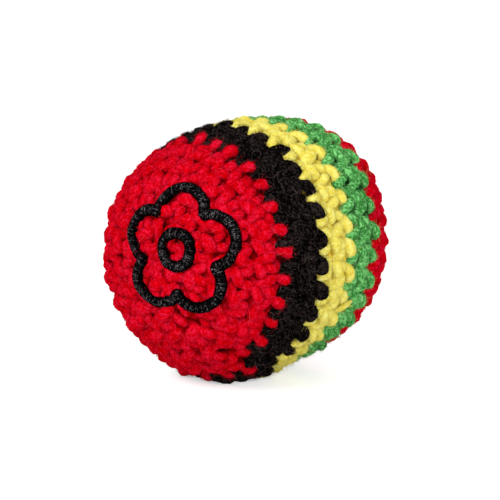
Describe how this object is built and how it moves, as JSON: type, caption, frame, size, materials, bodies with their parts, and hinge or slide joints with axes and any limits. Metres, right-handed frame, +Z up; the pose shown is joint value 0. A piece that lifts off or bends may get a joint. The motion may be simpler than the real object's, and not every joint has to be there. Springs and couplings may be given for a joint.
{
  "type": "footbag",
  "caption": "Crocheted footbag: a pellet-filled ball of yarn rounds, with a red dome at each end and black, yellow and green rings between.",
  "frame": {"origin": "middle of the object's box at the flat underside that it rests on", "axes": "+Z up, +Y along the crochet axis from the front dome to the back dome, front dome towards -Y"},
  "size_m": [0.0502, 0.0546, 0.0516],
  "materials": {
    "red_yarn": "soft acrylic yarn, single crochet",
    "black_yarn": "soft acrylic yarn, single crochet",
    "yellow_yarn": "soft acrylic yarn, single crochet",
    "green_yarn": "soft acrylic yarn, single crochet",
    "pouch_cloth": "thin plain-weave cloth",
    "tie_thread": "sewing thread",
    "pellets": "smooth granules",
    "embroidery_thread": "glossy satin-stitch thread"
  },
  "bodies": {
    "root": {"front_cover": "red_yarn", "black_band": "black_yarn", "yellow_band": "yellow_yarn", "green_band": "green_yarn", "back_cover": "red_yarn", "liner_pouch": "pouch_cloth", "pouch_tie": "tie_thread", "pellet_fill": "pellets"}
  },
  "joints": []
}
